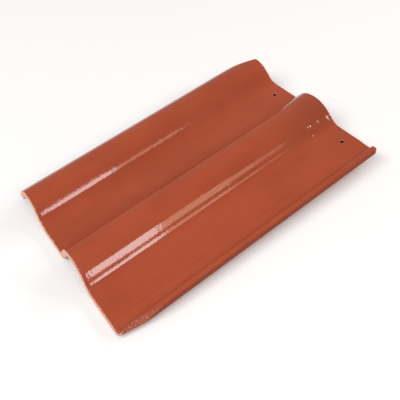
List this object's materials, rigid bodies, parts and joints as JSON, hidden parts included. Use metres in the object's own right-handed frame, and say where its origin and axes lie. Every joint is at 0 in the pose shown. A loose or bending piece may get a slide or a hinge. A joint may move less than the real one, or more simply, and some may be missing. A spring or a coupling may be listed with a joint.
{
  "type": "roof tile",
  "caption": "Interlocking clay roof tile with rounded rolls, flat pans, a side lock lip, nail holes and batten nibs, glazed terracotta red.",
  "frame": {"origin": "centre of the tile's box at its lowest point, the underside of the batten nibs", "axes": "+X across the tile from the lapping roll to the lock lip, +Y up the slope from the tail edge to the head edge, +Z out of the weathered face"},
  "size_m": [0.3266, 0.484, 0.0535],
  "materials": {
    "glazed_clay": "gloss glaze over terracotta red clay"
  },
  "bodies": {
    "root": {"roof_tile": "glazed_clay"}
  },
  "joints": []
}
